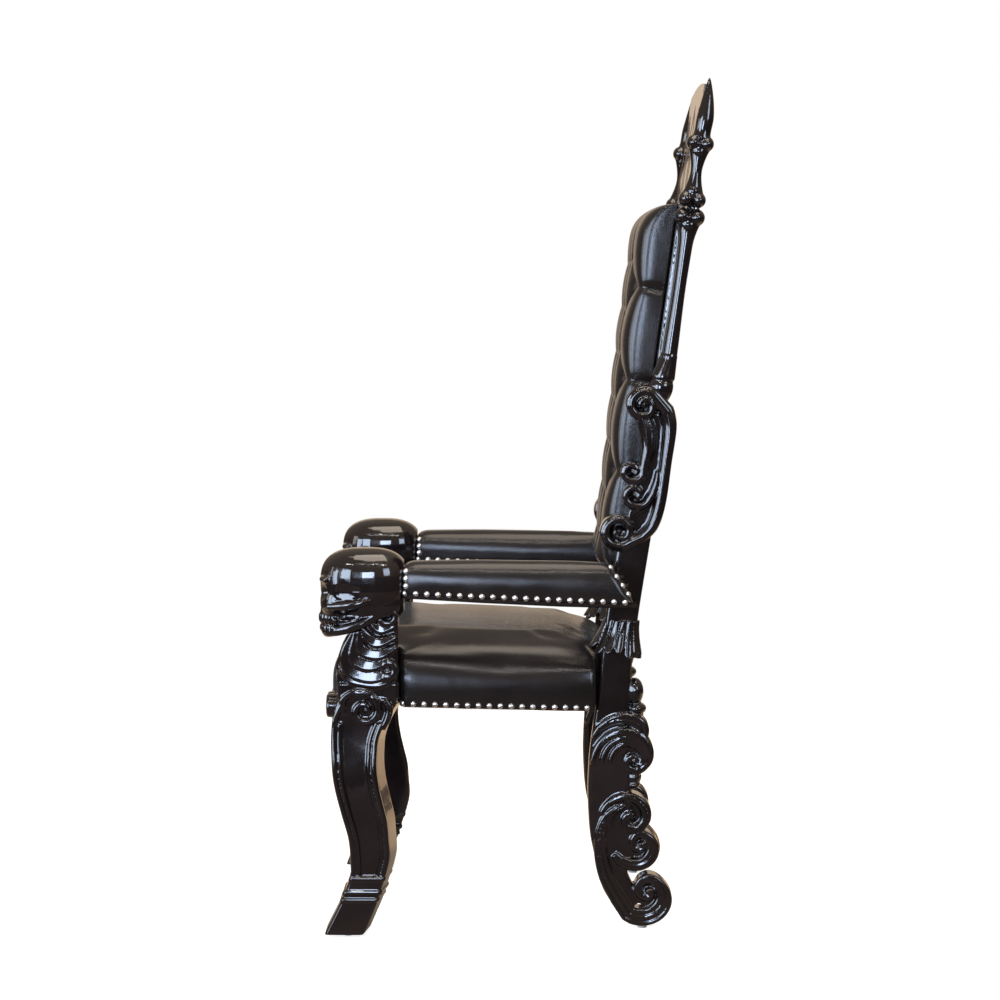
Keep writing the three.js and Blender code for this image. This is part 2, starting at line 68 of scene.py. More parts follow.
def volute(eye, start, end, sizes):
    """Stations (across, up, half width) of a scroll about its eye, with rows of radius and half width."""
    count = int(abs(math.radians(end - start)) * np.mean([s[0] for s in sizes]) / STEP)
    share = np.linspace(0, 1, len(sizes))
    at = np.linspace(0, 1, max(12, count))
    smooth = spline(np.column_stack([share * 1000, np.asarray(sizes, float)]), step=20)
    radius = np.interp(at * 1000, smooth[:, 0], smooth[:, 1])
    half = np.interp(at * 1000, smooth[:, 0], smooth[:, 2])
    angle = np.radians(start + (end - start) * at)
    return np.column_stack([eye[0] + radius * np.cos(angle), eye[1] + radius * np.sin(angle), half])


def loft(rings):
    """A closed mesh (points, faces) through rings of equally many points."""
    count, sides = len(rings), len(rings[0])
    faces = [
        (r * sides + i, r * sides + (i + 1) % sides, (r + 1) * sides + (i + 1) % sides, (r + 1) * sides + i)
        for r in range(count - 1)
        for i in range(sides)
    ]
    faces.append(tuple(reversed(range(sides))))
    faces.append(tuple(range((count - 1) * sides, count * sides)))
    return np.concatenate([np.asarray(ring, float) for ring in rings]), faces


def band(path, low, high, edge=None, flutes=(), depth=2.5, tilt=0.0, view="side"):
    """A carved band along path, from low to high out of the drawing, with edges rounded on both faces.

    flutes are the places of hollow channels across the band, from -1 to 1, and tilt lowers its left side."""
    path = np.asarray(path, float)
    along = np.gradient(path[:, :2], axis=0)
    along /= np.linalg.norm(along, axis=1)[:, None] + 1e-9
    s = -np.cos(np.linspace(0, np.pi, 17))
    rings = []
    for (a, u, half), (da, du) in zip(path, along):
        r = min(edge or half, half, (high - low) / 2)
        over = np.clip((np.abs(s) - 1 + r / half) / (r / half), 0, 1)
        drop = r * (1 - np.sqrt(np.clip(1 - over**2, 0, 1)))
        for place in flutes:
            drop = drop + min(depth, half * 0.3) * np.exp(-(((s - place) / 0.15) ** 2))
        across = np.concatenate([s, s[::-1]]) * half
        out = np.concatenate([high - drop - tilt * (s + 1) / 2, (low + drop)[::-1]])
        rings.append(np.column_stack([a - du * across, u + da * across, out]))
    points, faces = loft(rings)
    order = {"side": [2, 0, 1], "front": [0, 2, 1]}[view]
    points = points[:, order]
    if view == "front":
        points[:, 1] *= -1
    return points, faces


def blob(centre, radii, around=20, down=14):
    """A closed ellipsoid."""
    lat = np.linspace(0, np.pi, down + 1)[1:-1]
    lon = np.linspace(0, 2 * np.pi, around, endpoint=False)
    rings = [
        np.column_stack([np.sin(t) * np.cos(lon), np.sin(t) * np.sin(lon), np.full(around, np.cos(t))])
        for t in lat
    ]
    points, faces = loft(rings)
    return points * np.asarray(radii, float) + np.asarray(centre, float), faces


def raw_piece(name, parts):
    """One mesh object from closed parts in millimetres."""
    points, faces, base = [], [], 0
    for part_points, part_faces in parts:
        points.append(part_points)
        faces += [tuple(base + i for i in face) for face in part_faces]
        base += len(part_points)
    mesh = bpy.data.meshes.new(name)
    mesh.from_pydata((np.concatenate(points) * MM).tolist(), [], faces)
    piece = bpy.data.objects.new(name, mesh)
    bpy.context.scene.collection.objects.link(piece)
    return piece


def settle(piece):
    """Applies the piece's modifiers to its mesh."""
    made = bpy.data.meshes.new_from_object(piece.evaluated_get(bpy.context.evaluated_depsgraph_get()))
    old = piece.data
    piece.modifiers.clear()
    piece.data = made
    bpy.data.meshes.remove(old)
    made.name = piece.name
    made.shade_smooth()
    return piece


def melt(piece, grain):
    """Fuses overlapping parts on a grid of this grain."""
    remesh = piece.modifiers.new("melt", "REMESH")
    remesh.mode = "VOXEL"
    remesh.voxel_size = grain * MM


def ease(piece, rounds, group=""):
    """Softens creases, in a group of points or all over."""
    soften = piece.modifiers.new("ease", "SMOOTH")
    soften.iterations = rounds
    soften.vertex_group = group


def thin(piece, keep):
    """Keeps a share of the faces."""
    piece.modifiers.new("thin", "DECIMATE").ratio = keep


def carve(name, parts, grain=2.0, smooth=4, keep=1.0):
    """Melts overlapping closed parts into one carved piece with softened creases."""
    piece = raw_piece(name, parts)
    melt(piece, grain)
    ease(piece, smooth)
    if keep < 1:
        thin(piece, keep)
    return settle(piece)


def points_of(piece):
    """The piece's points in metres, one row each."""
    points = np.empty(len(piece.data.vertices) * 3)
    piece.data.vertices.foreach_get("co", points)
    return points.reshape(-1, 3)


def set_points(piece, points):
    """Moves the piece's points to new places in metres."""
    piece.data.vertices.foreach_set("co", points.ravel())


def mirrored(piece, name):
    """The same piece for the other side of the throne."""
    other = piece.copy()
    other.data = piece.data.copy()
    other.name = other.data.name = name
    bpy.context.scene.collection.objects.link(other)
    set_points(other, points_of(other) * (-1, 1, 1))
    other.data.flip_normals()
    return other


def place(piece, slot, *nodes):
    """Fixes a piece to the throne in place of its solids."""
    if nodes:
        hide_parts(*nodes)
    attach(piece, "root")


def new_finish(name):
    """A new material with its nodes, links and shader."""
    material = bpy.data.materials.new(name)
    material.use_nodes = True
    nodes, links = material.node_tree.nodes, material.node_tree.links
    return material, nodes, links, nodes["Principled BSDF"]


def mottle(nodes, links, where, scale, detail=2.0, distort=0.0):
    """Cloudy noise over a place, from 0 to 1."""
    clouds = nodes.new("ShaderNodeTexNoise")
    clouds.inputs["Scale"].default_value = scale
    clouds.inputs["Detail"].default_value = detail
    clouds.inputs["Distortion"].default_value = distort
    links.new(where, clouds.inputs["Vector"])
    return clouds.outputs["Fac"]


def tones(nodes, first, last, start=0.0, end=1.0):
    """A ramp between two colours."""
    ramp = nodes.new("ShaderNodeValToRGB")
    for stop, at, colour in zip(ramp.color_ramp.elements, (start, end), (first, last)):
        stop.position = at
        stop.color = (*colour, 1)
    return ramp


def vary(nodes, links, clouds, socket, low, high):
    """Lets a socket vary from low to high with the clouds."""
    scale = nodes.new("ShaderNodeMapRange")
    scale.inputs["To Min"].default_value = low
    scale.inputs["To Max"].default_value = high
    links.new(clouds, scale.inputs["Value"])
    links.new(scale.outputs["Result"], socket)


def relief(nodes, links, height, strength, deep):
    """A fine bump, its depth in metres."""
    bump = nodes.new("ShaderNodeBump")
    bump.inputs["Strength"].default_value = strength
    bump.inputs["Distance"].default_value = deep
    links.new(height, bump.inputs["Height"])
    return bump


def lacquer_material():
    """Black lacquer, brown-black in the film, over faint grain, with rubbed edges."""
    material, nodes, links, shader = new_finish("black_lacquer")
    shader.inputs["IOR"].default_value = 1.5
    shader.inputs["Coat Weight"].default_value = 0.6
    shader.inputs["Coat Roughness"].default_value = 0.04
    where = nodes.new("ShaderNodeTexCoord").outputs["Object"]
    clouds = mottle(nodes, links, where, 14, 5)
    film = tones(nodes, (0.0035, 0.0028, 0.0032), (0.010, 0.0066, 0.0068), 0.35, 0.75)
    links.new(clouds, film.inputs["Fac"])
    edges = nodes.new("ShaderNodeNewGeometry")
    rubbed = nodes.new("ShaderNodeMapRange")
    rubbed.inputs["From Min"].default_value = 0.53
    rubbed.inputs["From Max"].default_value = 0.66
    rubbed.inputs["To Max"].default_value = 0.5
    links.new(edges.outputs["Pointiness"], rubbed.inputs["Value"])
    worn = nodes.new("ShaderNodeMix")
    worn.data_type = "RGBA"
    worn.inputs["B"].default_value = (0.035, 0.024, 0.020, 1)
    links.new(rubbed.outputs["Result"], worn.inputs["Factor"])
    links.new(film.outputs["Color"], worn.inputs["A"])
    links.new(worn.outputs["Result"], shader.inputs["Base Color"])
    vary(nodes, links, clouds, shader.inputs["Roughness"], 0.07, 0.17)
    stretch = nodes.new("ShaderNodeMapping")
    stretch.inputs["Scale"].default_value = (1, 1, 0.18)
    links.new(where, stretch.inputs["Vector"])
    grain = mottle(nodes, links, stretch.outputs["Vector"], 60, 4)
    links.new(relief(nodes, links, grain, 0.06, 0.002).outputs["Normal"], shader.inputs["Normal"])
    return material


def lean(points):
    """Turns points given across, behind and along the leaning back into place."""
    x, v, u = np.asarray(points, float).T
    c, s = math.cos(BACK_LEAN), math.sin(BACK_LEAN)
    return np.column_stack([x, BACK_BASE[0] + v * c + u * s, BACK_BASE[1] - v * s + u * c])


def evenly(line):
    """Places at even shares of a line."""
    shares = np.linspace(0, 1, 120)
    return np.column_stack([np.interp(shares, np.linspace(0, 1, len(line)), line[:, i]) for i in (0, 1)])


lacquer = lacquer_material()
POST_IN, POST_OUT = POST_X - POST_HALF, POST_X + POST_HALF

# The leg's stem, from the foot to under the wing, with a softly rounded front edge.
leg_front = [[214, 840], [186, 652], [171, 500], [152, 350], [154, 215], [178, 98], [214, 40]]
leg_rear = [
    [282, 840], [253, 652], [238, 500], [241, 300], [252, 240], [254, 190], [238, 140], [234, 120], [266, 52],
]
front_edge, rear_edge = evenly(spline(leg_front, 8)), evenly(spline(leg_rear, 8))
stem = np.column_stack([(front_edge + rear_edge) / 2, np.linalg.norm(rear_edge - front_edge, axis=1) / 2])
leg_parts = [band(stem, POST_IN + 4, POST_OUT - 7, edge=9)]

# Its scrolls: the C of knee leaf and foot volute, the calf volute, thigh and hip leaves, and buds behind.
FOOT_EYE, CALF_EYE, THIGH_EYE = (277, 82), (261, 182), (247, 358)
foot_volute = np.vstack([
    spline([[214, 262, 7], [186, 232, 10], [176, 180, 13], [188, 118, 16], [214, 68, 18]], 4),
    volute(
        FOOT_EYE, -128, 400,
        [(64, 18), (45, 19), (28, 12), (26, 10), (20, 9), (15, 7.5), (10.5, 6), (6, 4)],
    ),
])
leg_parts.append(band(foot_volute, POST_IN + 1, POST_OUT - 1, edge=7, flutes=(-0.36, 0.36), depth=4))
calf_volute = np.vstack([
    [[206, 160, 8], [218, 146, 11]],
    volute(
        CALF_EYE, -118, 400,
        [(49, 13), (33, 14), (23, 10), (21, 8), (16.5, 7.5), (12.5, 6.5), (9, 5), (5, 4)],
    ),
])
leg_parts.append(band(calf_volute, POST_IN, POST_OUT, edge=7, flutes=(0.3,), depth=3))
knee_leaf = volute(
    (243, 238), 172, -300,
    [(66, 4), (46, 9), (34, 11), (27, 10.5), (23, 9), (16, 7.5), (10, 5), (6, 4)],
)
leg_parts.append(band(knee_leaf, POST_IN - 1, POST_OUT + 1, edge=8, flutes=(0.25,), depth=4))
knee_vein = spline([[226, 262, 3], [204, 246, 4], [194, 222, 4]], 3)
leg_parts.append(band(knee_vein, POST_IN + 2, POST_OUT - 1, edge=4))
for grow, half, high in ((1.0, 8, 1.5), (0.76, 6, 0.5), (0.56, 5, -0.5)):
    leaf = volute((245, 364), 188, -60, [
        (88 * grow, 3), (70 * grow, half), (52 * grow, half * 1.25),
        (40 * grow, half * 1.2), (33 * grow, half), (27 * grow, half * 0.7),
    ])
    leg_parts.append(band(leaf, POST_IN - high, POST_OUT + high, edge=half, flutes=(0.1,), depth=2))
thigh_curl = volute(THIGH_EYE, 20, -330, [(26, 10), (21, 9), (16, 7), (11, 6), (6, 4)])
leg_parts.append(band(thigh_curl, POST_IN + 1, POST_OUT - 2, edge=7))
hip_leaf = spline([
    [160, 410, 3], [178, 431, 8], [206, 446, 11], [236, 447, 13],
    [258, 437, 15], [266, 417, 13], [262, 402, 7],
])
leg_parts.append(band(hip_leaf, POST_IN + 1, POST_OUT - 1, edge=9, flutes=(0.1,), depth=3))
for y, z, deep, tall in ((249, 503, 18, 29), (253, 467, 20, 14), (248, 322, 16, 16), (248, 306, 13, 9)):
    leg_parts.append(blob((POST_X, y, z), (POST_HALF - 3, deep, tall)))
for (y, z), r in ((FOOT_EYE, 10), (CALF_EYE, 9), ((243, 237), 8), (THIGH_EYE, 8)):
    leg_parts.append(blob((POST_X, y, z), (POST_HALF + 1, r, r)))
around = np.linspace(0, 2 * np.pi, 32, endpoint=False)
for y, z, deep, tall in ((244, 372, 27, 40), (246, 240, 25, 34), (261, 181, 27, 26), (276, 80, 31, 30)):
    disc = [(y + deep * math.cos(a), z + tall * math.sin(a)) for a in around]
    leg_parts.append(loft([[(x, *at) for at in disc] for x in (POST_IN + 7, POST_OUT - 10)]))
rear_leg_left = carve("rear_leg_left_carved", leg_parts, grain=2.1, smooth=4, keep=0.46)

# The petal collar: ruffled petals round the post, each hollow down its middle, lower at the rear.
PETALS = 15
petal_parts = []
for i in range(PETALS):
    angle = 2 * math.pi * (i + 0.5) / PETALS
    away = np.array([math.sin(angle), math.cos(angle)])
    beside = np.array([math.cos(angle), -math.sin(angle)])
    rings = []
    for t in np.linspace(0, 1, 18):
        reach = np.array([25 + 19 * t**1.4, 32 + 20 * t**1.4])  # across X and along Y
        middle = np.array([POST_X, 221 - 14 * t]) + away * reach
        z = 655 - 70 * t - away[1] * 8 * (0.3 + t) + 5 * math.sin(5 * angle) * t
        wide = (6.0 + 4.6 * t) * math.sqrt(max(0.05, 1 - max(0, (t - 0.8) / 0.21) ** 2))
        s = np.linspace(0, 2 * np.pi, 20, endpoint=False)
        hollow_out = 3.0 * np.exp(-((np.cos(s) / 0.35) ** 2)) * (np.sin(s) > 0) * min(1, 2 * t)
        flat = middle + np.outer(np.cos(s) * wide, beside) + np.outer(6.5 * np.sin(s) - hollow_out, away)
        rings.append(np.column_stack([flat, np.full(len(s), z)]))
    petal_parts.append(loft(rings))
collar_core = [
    np.column_stack([POST_X + wide * np.sin(around), y + deep * np.cos(around), np.full(32, z)])
    for y, z, deep, wide in ((222, 657, 32, 26), (216, 624, 36, 29), (210, 596, 41, 34))
]
petal_parts.append(loft(collar_core))
collar_left = carve("petal_collar_left", petal_parts, grain=1.4, smooth=6, keep=0.5)

# The wing: a C of two volutes, a long fluted leaf, a small curl and a leaf tip on a sunk ground.
wing_parts = []
wing_frame = np.vstack([
    volute((264, 1104), 560, 45, [(7, 4), (11, 5), (16, 7), (21, 9), (25, 10), (28, 11), (30, 13)]),
    spline([
        [313, 1091, 16], [319, 1055, 14], [311, 985, 12], [300, 905, 12], [285, 855, 12], [262, 829, 12],
    ], 4),
    volute((214, 841), -50, -560, [(32, 12), (31, 11), (28, 10), (25, 9), (19, 7), (12, 5), (7, 4)]),
])
wing_parts.append(band(wing_frame, POST_IN, POST_OUT + 2, edge=16, flutes=(0.45,), depth=3))
wing_leaf = np.vstack([
    spline([[262, 1082, 15], [272, 1050, 17], [274, 1018, 15], [268, 990, 11]], 4),
    volute((241, 966), 15, -420, [(24, 9), (20, 8), (17, 7), (12, 6), (7, 4)]),
])
wing_parts.append(band(wing_leaf, POST_IN + 4, POST_OUT + 2, edge=14, flutes=(0.3,), depth=4))
wing_curl = np.vstack([
    spline([[293, 966, 2], [291, 945, 5], [284, 922, 7]], 4),
    volute((246, 918), -15, -420, [(32, 8), (22, 8), (17, 7), (12, 6), (7, 4)]),
])
wing_parts.append(band(wing_curl, POST_IN + 4, POST_OUT + 1, edge=8))
leaf_tip = spline([[268, 893, 4], [252, 890, 10], [240, 880, 8], [234, 868, 2]], 3)
wing_parts.append(band(leaf_tip, POST_IN + 6, POST_OUT - 4, edge=6, flutes=(0,), depth=2))
ground = spline([
    [290, 1085, 24], [290, 1030, 22], [283, 985, 24], [276, 925, 30], [262, 880, 26], [240, 848, 16],
], 5)
wing_parts.append(band(ground, POST_IN + 3, POST_OUT - 19, edge=5))
for y, z, r in ((264, 1104, 11), (214, 841, 11), (241, 966, 9), (246, 918, 9)):
    wing_parts.append(blob((POST_X, y, z), (POST_HALF - 1, r, r)))
wing_left = carve("wing_left_carved", wing_parts, grain=1.9, smooth=4, keep=0.48)

# The flat stile inside the bones, which carries the back's boards.
post_parts = []
for front, rear, low, high in ((-24, 10, 60, 805), (-7, 9, 800, 972)):
    corners = [(POST_IN, front), (POST_IN + 22, front), (POST_IN + 22, rear), (POST_IN, rear)]
    rings = [lean([(x, v, u) for x, v in corners]) for u in (low, high)]
    post_parts.append(loft(rings))


def bone(low, high, shaft, spread, ends):
    """A finger bone: a waisted shaft with a pair of knuckles and a groove at each of the named ends."""
    parts, rings = [], []
    ring = np.linspace(0, 2 * np.pi, 24, endpoint=False)
    for t in np.linspace(0, 1, 40):
        near = min([abs(end - low - (high - low) * t) for end in ends])
        flare = max(0, 1 - near / 62) ** 2
        deep = shaft + (spread * 0.92 - shaft) * flare + 1.2 * math.cos(2 * math.pi * t)
        wide = shaft + shaft * 0.45 * flare
        u = low + (high - low) * t
        level = np.column_stack([POST_X + wide * np.cos(ring), deep * np.sin(ring), np.full(24, u)])
        rings.append(lean(level))
    parts.append(loft(rings))
    for end in ends:
        for side in (-1, 1):
            knuckle = (spread * 0.76, spread * 0.53, spread * 0.56)
            points, faces = blob((POST_X, side * spread * 0.5, end), knuckle)
            parts.append((lean(points), faces))
        neck = end + (17 if end == low else -17)
        points, faces = blob((POST_X, 0, neck), (spread * 0.66, spread * 0.62, 13))
        parts.append((lean(points), faces))
    return parts


def turned(stations):
    """A rod along the back from stations of height, place behind the bone axis, half depth and half width."""
    ring = np.linspace(0, 2 * np.pi, 28, endpoint=False)
    smooth = spline([[u, v, deep, wide] for u, v, deep, wide in stations], 1.5)
    return loft([
        lean(np.column_stack([POST_X + wide * np.cos(ring), v + deep * np.sin(ring), np.full(28, u)]))
        for u, v, deep, wide in smooth
    ])


post_parts += bone(500, 800, 14.5, 31, (800,)) + bone(836, 952, 13, 28, (836, 952))
post_parts.append(turned([
    (412, -4, 9, 9), (420, -7, 18, 16), (430, -9, 24, 20), (441, -9, 26, 22), (451, -8, 24.5, 21),
    (457, -7, 21.5, 18.5), (463, -7, 24.5, 20.5), (473, -6, 23.5, 19.5), (490, -3.5, 20.5, 17.5),
    (504, -1, 17.5, 16), (511, -0.5, 17, 15.5), (514, 0, 13, 12),
]))
claw = []
ring = np.linspace(0, 2 * np.pi, 20, endpoint=False)
claw_shape = spline([
    [954, 13], [962, 19], [971, 18], [980, 17.5], [1005, 18],
    [1035, 14], [1065, 8], [1082, 3.6], [CLAW_TIP, 0.8],
], 2)
for u, radius in claw_shape:
    bow = 3 * math.sin(math.pi * np.clip((u - CLAW_LOW) / (CLAW_TIP - CLAW_LOW), 0, 1))
    level = [POST_X + 0.9 * radius * np.cos(ring), bow + radius * np.sin(ring), np.full(20, u)]
    claw.append(lean(np.column_stack(level)))
post_parts.append(loft(claw))
bone_post_left = carve("bone_post_left_carved", post_parts, grain=2.0, smooth=4, keep=0.5)

for piece in (bone_post_left, rear_leg_left, wing_left, collar_left):
    piece.data.materials.append(lacquer)
    other = mirrored(piece, piece.name.replace("left", "right"))
    if piece is bone_post_left:
        place(piece, "lacquer", "rear_post_left")
        place(other, "lacquer", "rear_post_right")
    else:
        place(piece, "lacquer")
        place(other, "lacquer")


# Front legs
# Each front leg is one block of lacquered hardwood: an S-curved shin with a sunk side panel between double
# beads, ankle rings and a plain foot, and above the seat rail an arm support carved with acanthus.

LEG_X = 338  # middle of the leg from the centre plane
LEG_HALF = 43
LEG_IN, LEG_OUT = LEG_X - LEG_HALF, LEG_X + LEG_HALF
LEG_TOP = 505  # where the leg becomes the arm support
FLARE = 12  # the inner side is sawn this much deeper at the rear
PANEL_SUNK = 8
KNEE_Z, KNEE_SWELL = 324, 14  # the outer side is fullest at the knee
KNEE_ABOVE, KNEE_BELOW = 85, 130  # how far that fullness reaches


def squared(front, rear, inner, outer, z, flare=0.0, ease=5.0):
    """One level of a squared post with eased corners."""
    corners = np.array([(outer, front), (outer, rear), (inner, rear + flare), (inner, front)], float)
    ring = []
    for i in range(4):
        for other in (corners[i - 1], corners[(i + 1) % 4]):
            way = other - corners[i]
            ring.append(corners[i] + way / np.linalg.norm(way) * ease)
    return np.column_stack([np.array(ring), np.full(8, z)])


def height_line(places):
    """Y at a height along a smooth line through places (Y, Z)."""
    line = spline(places, 5)
    order = np.argsort(line[:, 1])
    return lambda z: np.interp(z, line[order, 1], line[order, 0])


shin_front = height_line([
    [-369, 504], [-377, 473], [-381, 421], [-379, 358], [-373, 316], [-360, 264], [-346, 211],
    [-342, 159], [-343, 132], [-354, 100], [-370, 64], [-391, 22], [-397, 9],
])
shin_rear = height_line([
    [-247, 490], [-268, 456], [-282, 421], [-286, 386], [-286, 352], [-281, 316], [-273, 281], [-265, 247],
    [-262, 211], [-260, 176], [-267, 142], [-279, 106], [-290, 71], [-302, 43], [-317, 9],
])
levels = np.linspace(FOOT_Z, 506, 100)
leg_parts = [loft([
    squared(shin_front(z), shin_rear(z), LEG_IN, LEG_OUT - PANEL_SUNK, z, FLARE)
    for z in levels
])]
foot_levels = np.linspace(FOOT_Z, 124, 30)
leg_parts.append(loft([squared(shin_front(z), shin_rear(z), LEG_IN, LEG_OUT, z, FLARE) for z in foot_levels]))
for z, tall, proud in ((126, 6, 2), (98, 7, 4), (83, 5, 3)):
    ring_levels = [
        (z - tall, -2), (z - tall * 0.6, proud * 0.8), (z, proud),
        (z + tall * 0.6, proud * 0.8), (z + tall, -2),
    ]
    leg_parts.append(loft([
        squared(shin_front(at) - out, shin_rear(at) + out, LEG_IN - out, LEG_OUT + out, at, FLARE)
        for at, out in ring_levels
    ]))
bead_levels = np.linspace(122, 452, 80)
for line, side in ((shin_front, 1), (shin_rear, -1)):
    for inset, half, sunk in ((6, 6, 0), (17, 4.2, 2)):
        bead = np.column_stack([line(bead_levels) + side * inset, bead_levels, np.full(80, half)])
        leg_parts.append(band(bead, LEG_IN + 6, LEG_OUT - sunk, edge=6))
knee_scroll = np.vstack([
    spline([[-374, 450, 6], [-369, 470, 6], [-358, 490, 6.5]], 4),
    volute((-312, 478), 155, -380, [(50, 7), (34, 7), (27, 7), (22, 6.5), (17, 6), (12, 5), (7, 4)]),
])
leg_parts.append(band(knee_scroll, LEG_IN + 2, LEG_OUT + 1, edge=5, flutes=(0.2,), depth=1.5))
knee_leaf = spline([[-275, 440, 6], [-264, 462, 7], [-260, 482, 7], [-270, 498, 6], [-284, 502, 3]], 4)
leg_parts.append(band(knee_leaf, LEG_IN + 2, LEG_OUT, edge=5, flutes=(-0.1,), depth=2))
leg_parts.append(blob((LEG_X, -312, 479), (LEG_HALF + 1, 8, 8)))
for side in (-1, 1):
    front_curl = volute(
        (LEG_X + side * 17, 482), 90 + side * 120, 90 - side * 330,
        [(27, 7), (20, 7), (14, 6), (8, 4)],
    )
    leg_parts.append(band(front_curl, 350, 391, edge=5, view="front"))
    leg_parts.append(blob((LEG_X + side * 17, -372, 482), (7, 20, 7)))

# The arm support over the seat rail: leaf ribs that spring from under the skull and turn back to the seat.
support_front = height_line([
    [-258, 694], [-290, 664], [-330, 646], [-351, 628], [-363, 600], [-371, 569], [-369, 551], [-367, 500],
])
leg_parts.append(loft([
    squared(support_front(z), -243, LEG_IN + 6, LEG_OUT - 9, z, 0, 6 if z < 640 else 3)
    for z in np.linspace(500, 690, 60)
]))
leg_parts.append(loft([squared(-366, -241, LEG_IN + 2, LEG_OUT - 3, z) for z in (502, 534)]))
ribs = [
    [[-300, 662, 4], [-279, 649, 11], [-250, 656, 8]],
    [[-314, 650, 4], [-299, 626, 11], [-279, 621, 11], [-247, 633, 6]],
    [[-322, 644, 4], [-317, 608, 11], [-297, 597, 12], [-274, 598, 11], [-246, 612, 6]],
    [[-329, 642, 4], [-333, 592, 12], [-318, 577, 13], [-296, 573, 12], [-260, 583, 7]],
    [[-335, 640, 4], [-349, 598, 12], [-342, 567, 15], [-320, 553, 14], [-292, 549, 13], [-266, 555, 9]],
    [[-362, 566, 4], [-343, 545, 8], [-314, 537, 9], [-284, 535, 9], [-258, 541, 6]],
]
for rib in ribs:
    leg_parts.append(band(spline(rib, 3), LEG_IN + 1, LEG_OUT + 2.5, edge=5, tilt=5))
for eye, turn, sizes in (
    ((-260, 676), (200, 560), [(22, 6), (14, 6), (11, 5), (6, 4)]),
    ((-263, 565), (-120, 330), [(20, 8), (14, 7), (10, 5), (6, 4)]),
):
    leg_parts.append(band(volute(eye, *turn, sizes), LEG_IN, LEG_OUT + 2, edge=5))
    leg_parts.append(blob((LEG_X, *eye), (LEG_HALF + 1, 7, 7)))
front_leg_left = carve("front_leg_left_carved", leg_parts, grain=1.6, smooth=4, keep=0.3)
leg_points = points_of(front_leg_left)
away = leg_points[:, 2] / MM - KNEE_Z
fullness = np.exp(-((away / np.where(away > 0, KNEE_ABOVE, KNEE_BELOW)) ** 2)) * (away < LEG_TOP - KNEE_Z)
outward = np.clip((leg_points[:, 0] / MM - LEG_IN) / (2 * LEG_HALF), 0, 1)
leg_points[:, 0] += KNEE_SWELL * MM * fullness * outward
set_points(front_leg_left, leg_points)
front_leg_left.data.materials.append(lacquer)
place(front_leg_left, "lacquer", "front_leg_left")
place(mirrored(front_leg_left, "front_leg_right_carved"), "lacquer", "front_leg_right")


# Arm-end skulls
# Each arm ends in a skull carved from one block of lacquered hardwood, doweled onto the arm support, with a
# smooth dome, deep sockets, cheekbones and two rows of teeth. Its rear is sawn flat against the arm pad.

SKULL_REAR = -231
TEETH = 11  # in each row


def boxy(centre, radii, square):
    """A rounded block: an ellipsoid whose sides are flatter where square, one or one an axis, is below 1."""
    points, faces = blob((0, 0, 0), (1, 1, 1), 36, 24)
    points = np.sign(points) * np.abs(points) ** np.asarray(square)
    return points * np.asarray(radii, float) + np.asarray(centre, float), faces


def tube(path, radii):
    """A closed round rod along points in space, with a radius at each."""
    path = np.asarray(path, float)
    along = np.gradient(path, axis=0)
    along /= np.linalg.norm(along, axis=1)[:, None]
    ring = np.linspace(0, 2 * np.pi, 14, endpoint=False)
    rings = []
    for middle, way, radius in zip(path, along, radii):
        first = np.cross(way, (0.1, 0.2, 0.97))
        first /= np.linalg.norm(first)
        second = np.cross(way, first)
        rings.append(middle + radius * (np.outer(np.cos(ring), first) + np.outer(np.sin(ring), second)))
    return loft(rings)


def press(piece, centre, radii, push):
    """Presses a hollow into a carved piece round a centre, in millimetres."""
    points = points_of(piece)
    far = np.linalg.norm((points / MM - np.asarray(centre, float)) / np.asarray(radii, float), axis=1)
    points += np.outer(np.clip(1 - far**2, 0, 1) ** 1.5, np.asarray(push, float) * MM)
    set_points(piece, points)


skull_parts = [
    boxy((0, -312, 742), (66, 92, 71), (1.0, 0.74, 0.74)),
    boxy((0, -362, 702), (54, 42, 42), 0.85),
    boxy((0, -366, 682), (40, 38, 22), 0.9),
    boxy((0, -352, 660), (36, 42, 20), 0.9),
    boxy((0, -384, 642), (27, 18, 15), 0.85),
    boxy((0, -288, 704), (54, 62, 46), 0.8),
    boxy((0, -330, 672), (44, 62, 26), 0.8),
]
for side in (-1, 1):
    skull_parts.append(blob((side * 25, -391, 750), (28, 13, 9)))
    arch = spline([
        [side * 48, -280, 718], [side * 60, -312, 705], [side * 57, -350, 698], [side * 42, -386, 694],
    ], 3)
    skull_parts.append(tube(arch, np.interp(arch[:, 1], (-386, -346, -280), (8, 10, 7))))
    jaw = spline([
        [side * 34, -250, 724], [side * 37, -270, 690], [side * 38, -302, 666],
        [side * 37, -345, 649], [side * 23, -384, 641], [0, -389, 640],
    ], 3)
    skull_parts.append(tube(jaw, np.interp(jaw[:, 1], (-390, -330, -246), (12, 11, 12))))
for row, (z, tall, reach) in enumerate(((668, 11, 3), (648, 8, 1))):
    for i in range(TEETH):
        turn = math.radians(-78 + 156 * (i + 0.5 * (row == 0)) / (TEETH - 0.5))
        tooth = ((37 + reach) * math.sin(turn), -364 - (36 + reach) * math.cos(turn), z)
        skull_parts.append(boxy(tooth, (5.0, 5.0, tall), 0.8))
skull_left = carve("skull_left_carved", skull_parts, grain=1.7, smooth=4, keep=0.5)
for side in (-1, 1):
    press(skull_left, (side * 25, -402, 722), (20, 34, 18), (0, 28, 0))
    press(skull_left, (side * 66, -352, 726), (24, 30, 18), (-side * 6, 0, 0))
    press(skull_left, (side * 52, -352, 676), (22, 34, 13), (-side * 11, 0, 0))
    press(skull_left, (side * 4, -406, 700), (8, 22, 14), (0, 14, 0))
spots = points_of(skull_left)
spots[:, 0] += LEG_X * MM
spots[:, 1] = np.minimum(spots[:, 1], SKULL_REAR * MM)
set_points(skull_left, spots)
skull_left.data.materials.append(lacquer)
